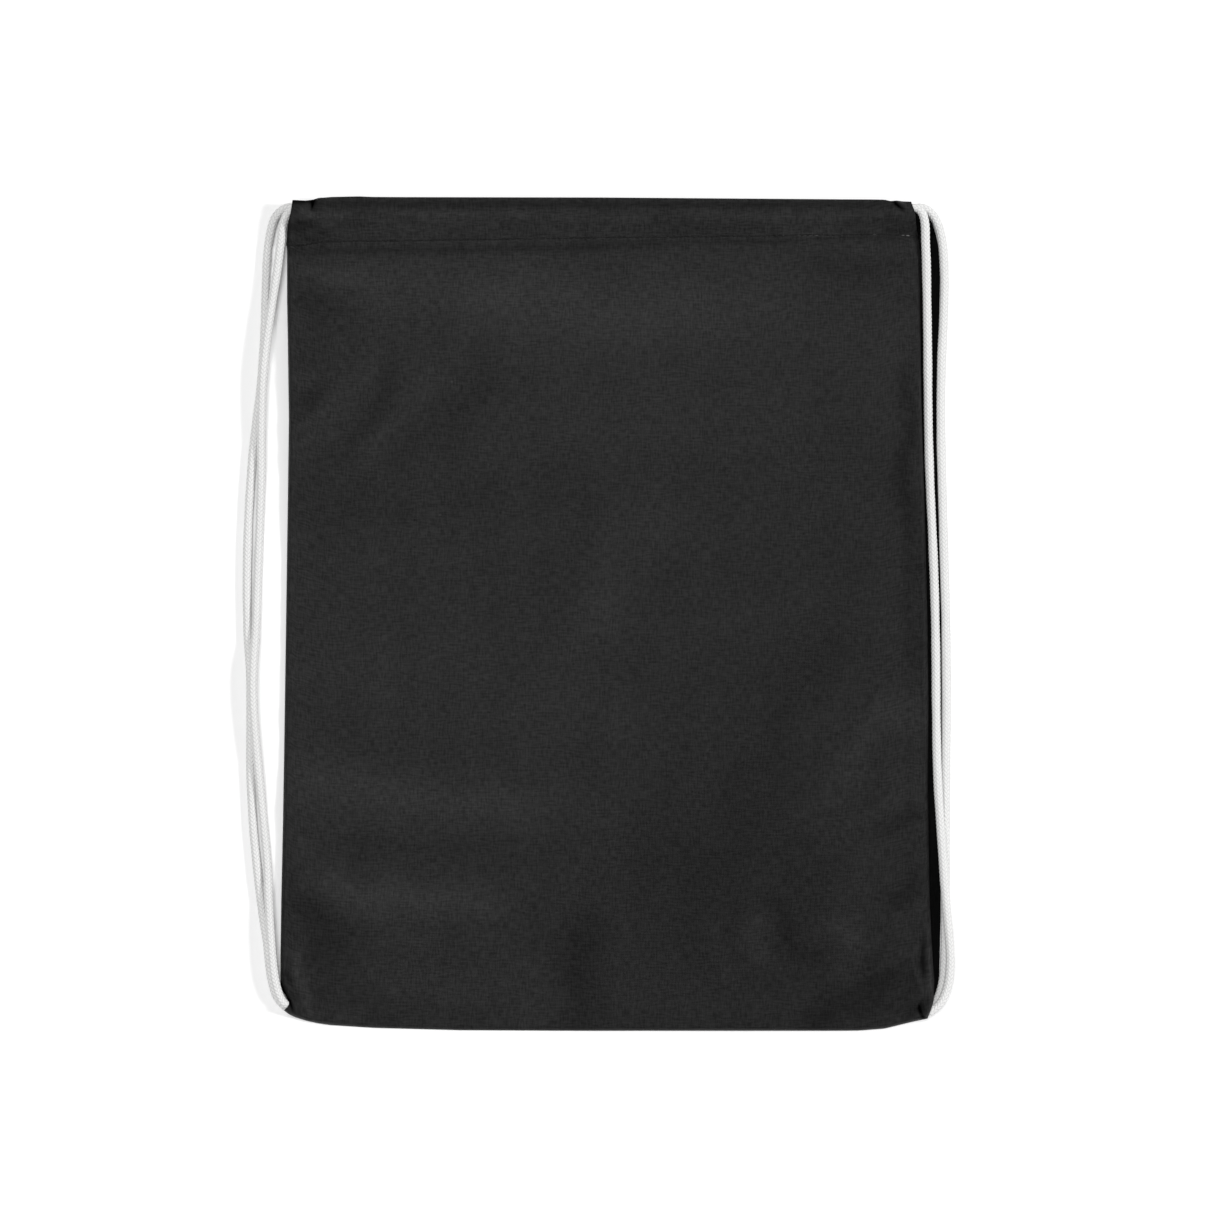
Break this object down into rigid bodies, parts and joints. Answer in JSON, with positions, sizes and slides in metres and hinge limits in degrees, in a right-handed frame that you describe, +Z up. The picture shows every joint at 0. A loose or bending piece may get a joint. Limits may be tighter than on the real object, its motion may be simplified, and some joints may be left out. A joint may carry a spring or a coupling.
{
  "type": "drawstring backpack",
  "caption": "Flat empty cotton drawstring bag with hem channels at its mouth and braided cords that run down its sides as shoulder straps.",
  "frame": {"origin": "under the middle of the flat bag, on the surface that its back lies on", "axes": "+X to the bag's right as seen from its front, +Y from the bottom fold to the mouth, +Z up, out of the front panel"},
  "size_m": [0.3913, 0.458, 0.0143],
  "materials": {
    "black_cotton": "matte plain weave",
    "black_thread": "matte spun thread",
    "white_cord": "matte braided cotton"
  },
  "bodies": {
    "bag_back": {"back_channel": "black_cotton", "back_channel_stitches": "black_thread", "back_panel": "black_cotton", "bottom_fold": "black_cotton", "left_back_run": "white_cord", "left_bottom_tack": "black_thread", "left_cord_bight": "white_cord", "left_seam_overlock": "black_thread", "left_side_seam": "black_cotton", "right_back_run": "white_cord", "right_bottom_tack": "black_thread", "right_cord_bight": "white_cord", "right_seam_overlock": "black_thread", "right_side_seam": "black_cotton"},
    "bag_front": {"front_panel": "black_cotton", "front_channel": "black_cotton", "front_channel_stitches": "black_thread", "left_front_run": "white_cord", "right_front_run": "white_cord"},
    "left_cord": {"left_front_strand": "white_cord", "left_back_strand": "white_cord"},
    "right_cord": {"right_front_strand": "white_cord", "right_back_strand": "white_cord"}
  },
  "joints": [
    {"name": "mouth_open", "type": "hinge", "parent": "bag_back", "child": "bag_front", "pos_m": [0, -0.2277, 0.0077], "axis": [1, 0, 0], "range_deg": [0, 6]},
    {"name": "left_cord_pull", "type": "slide", "parent": "bag_back", "child": "left_cord", "axis": [-1, 0, 0], "range_m": [0, 0.03], "deforming": ["left_front_strand", "left_back_strand"]},
    {"name": "right_cord_pull", "type": "slide", "parent": "bag_back", "child": "right_cord", "axis": [1, 0, 0], "range_m": [0, 0.03], "deforming": ["right_front_strand", "right_back_strand"]}
  ]
}
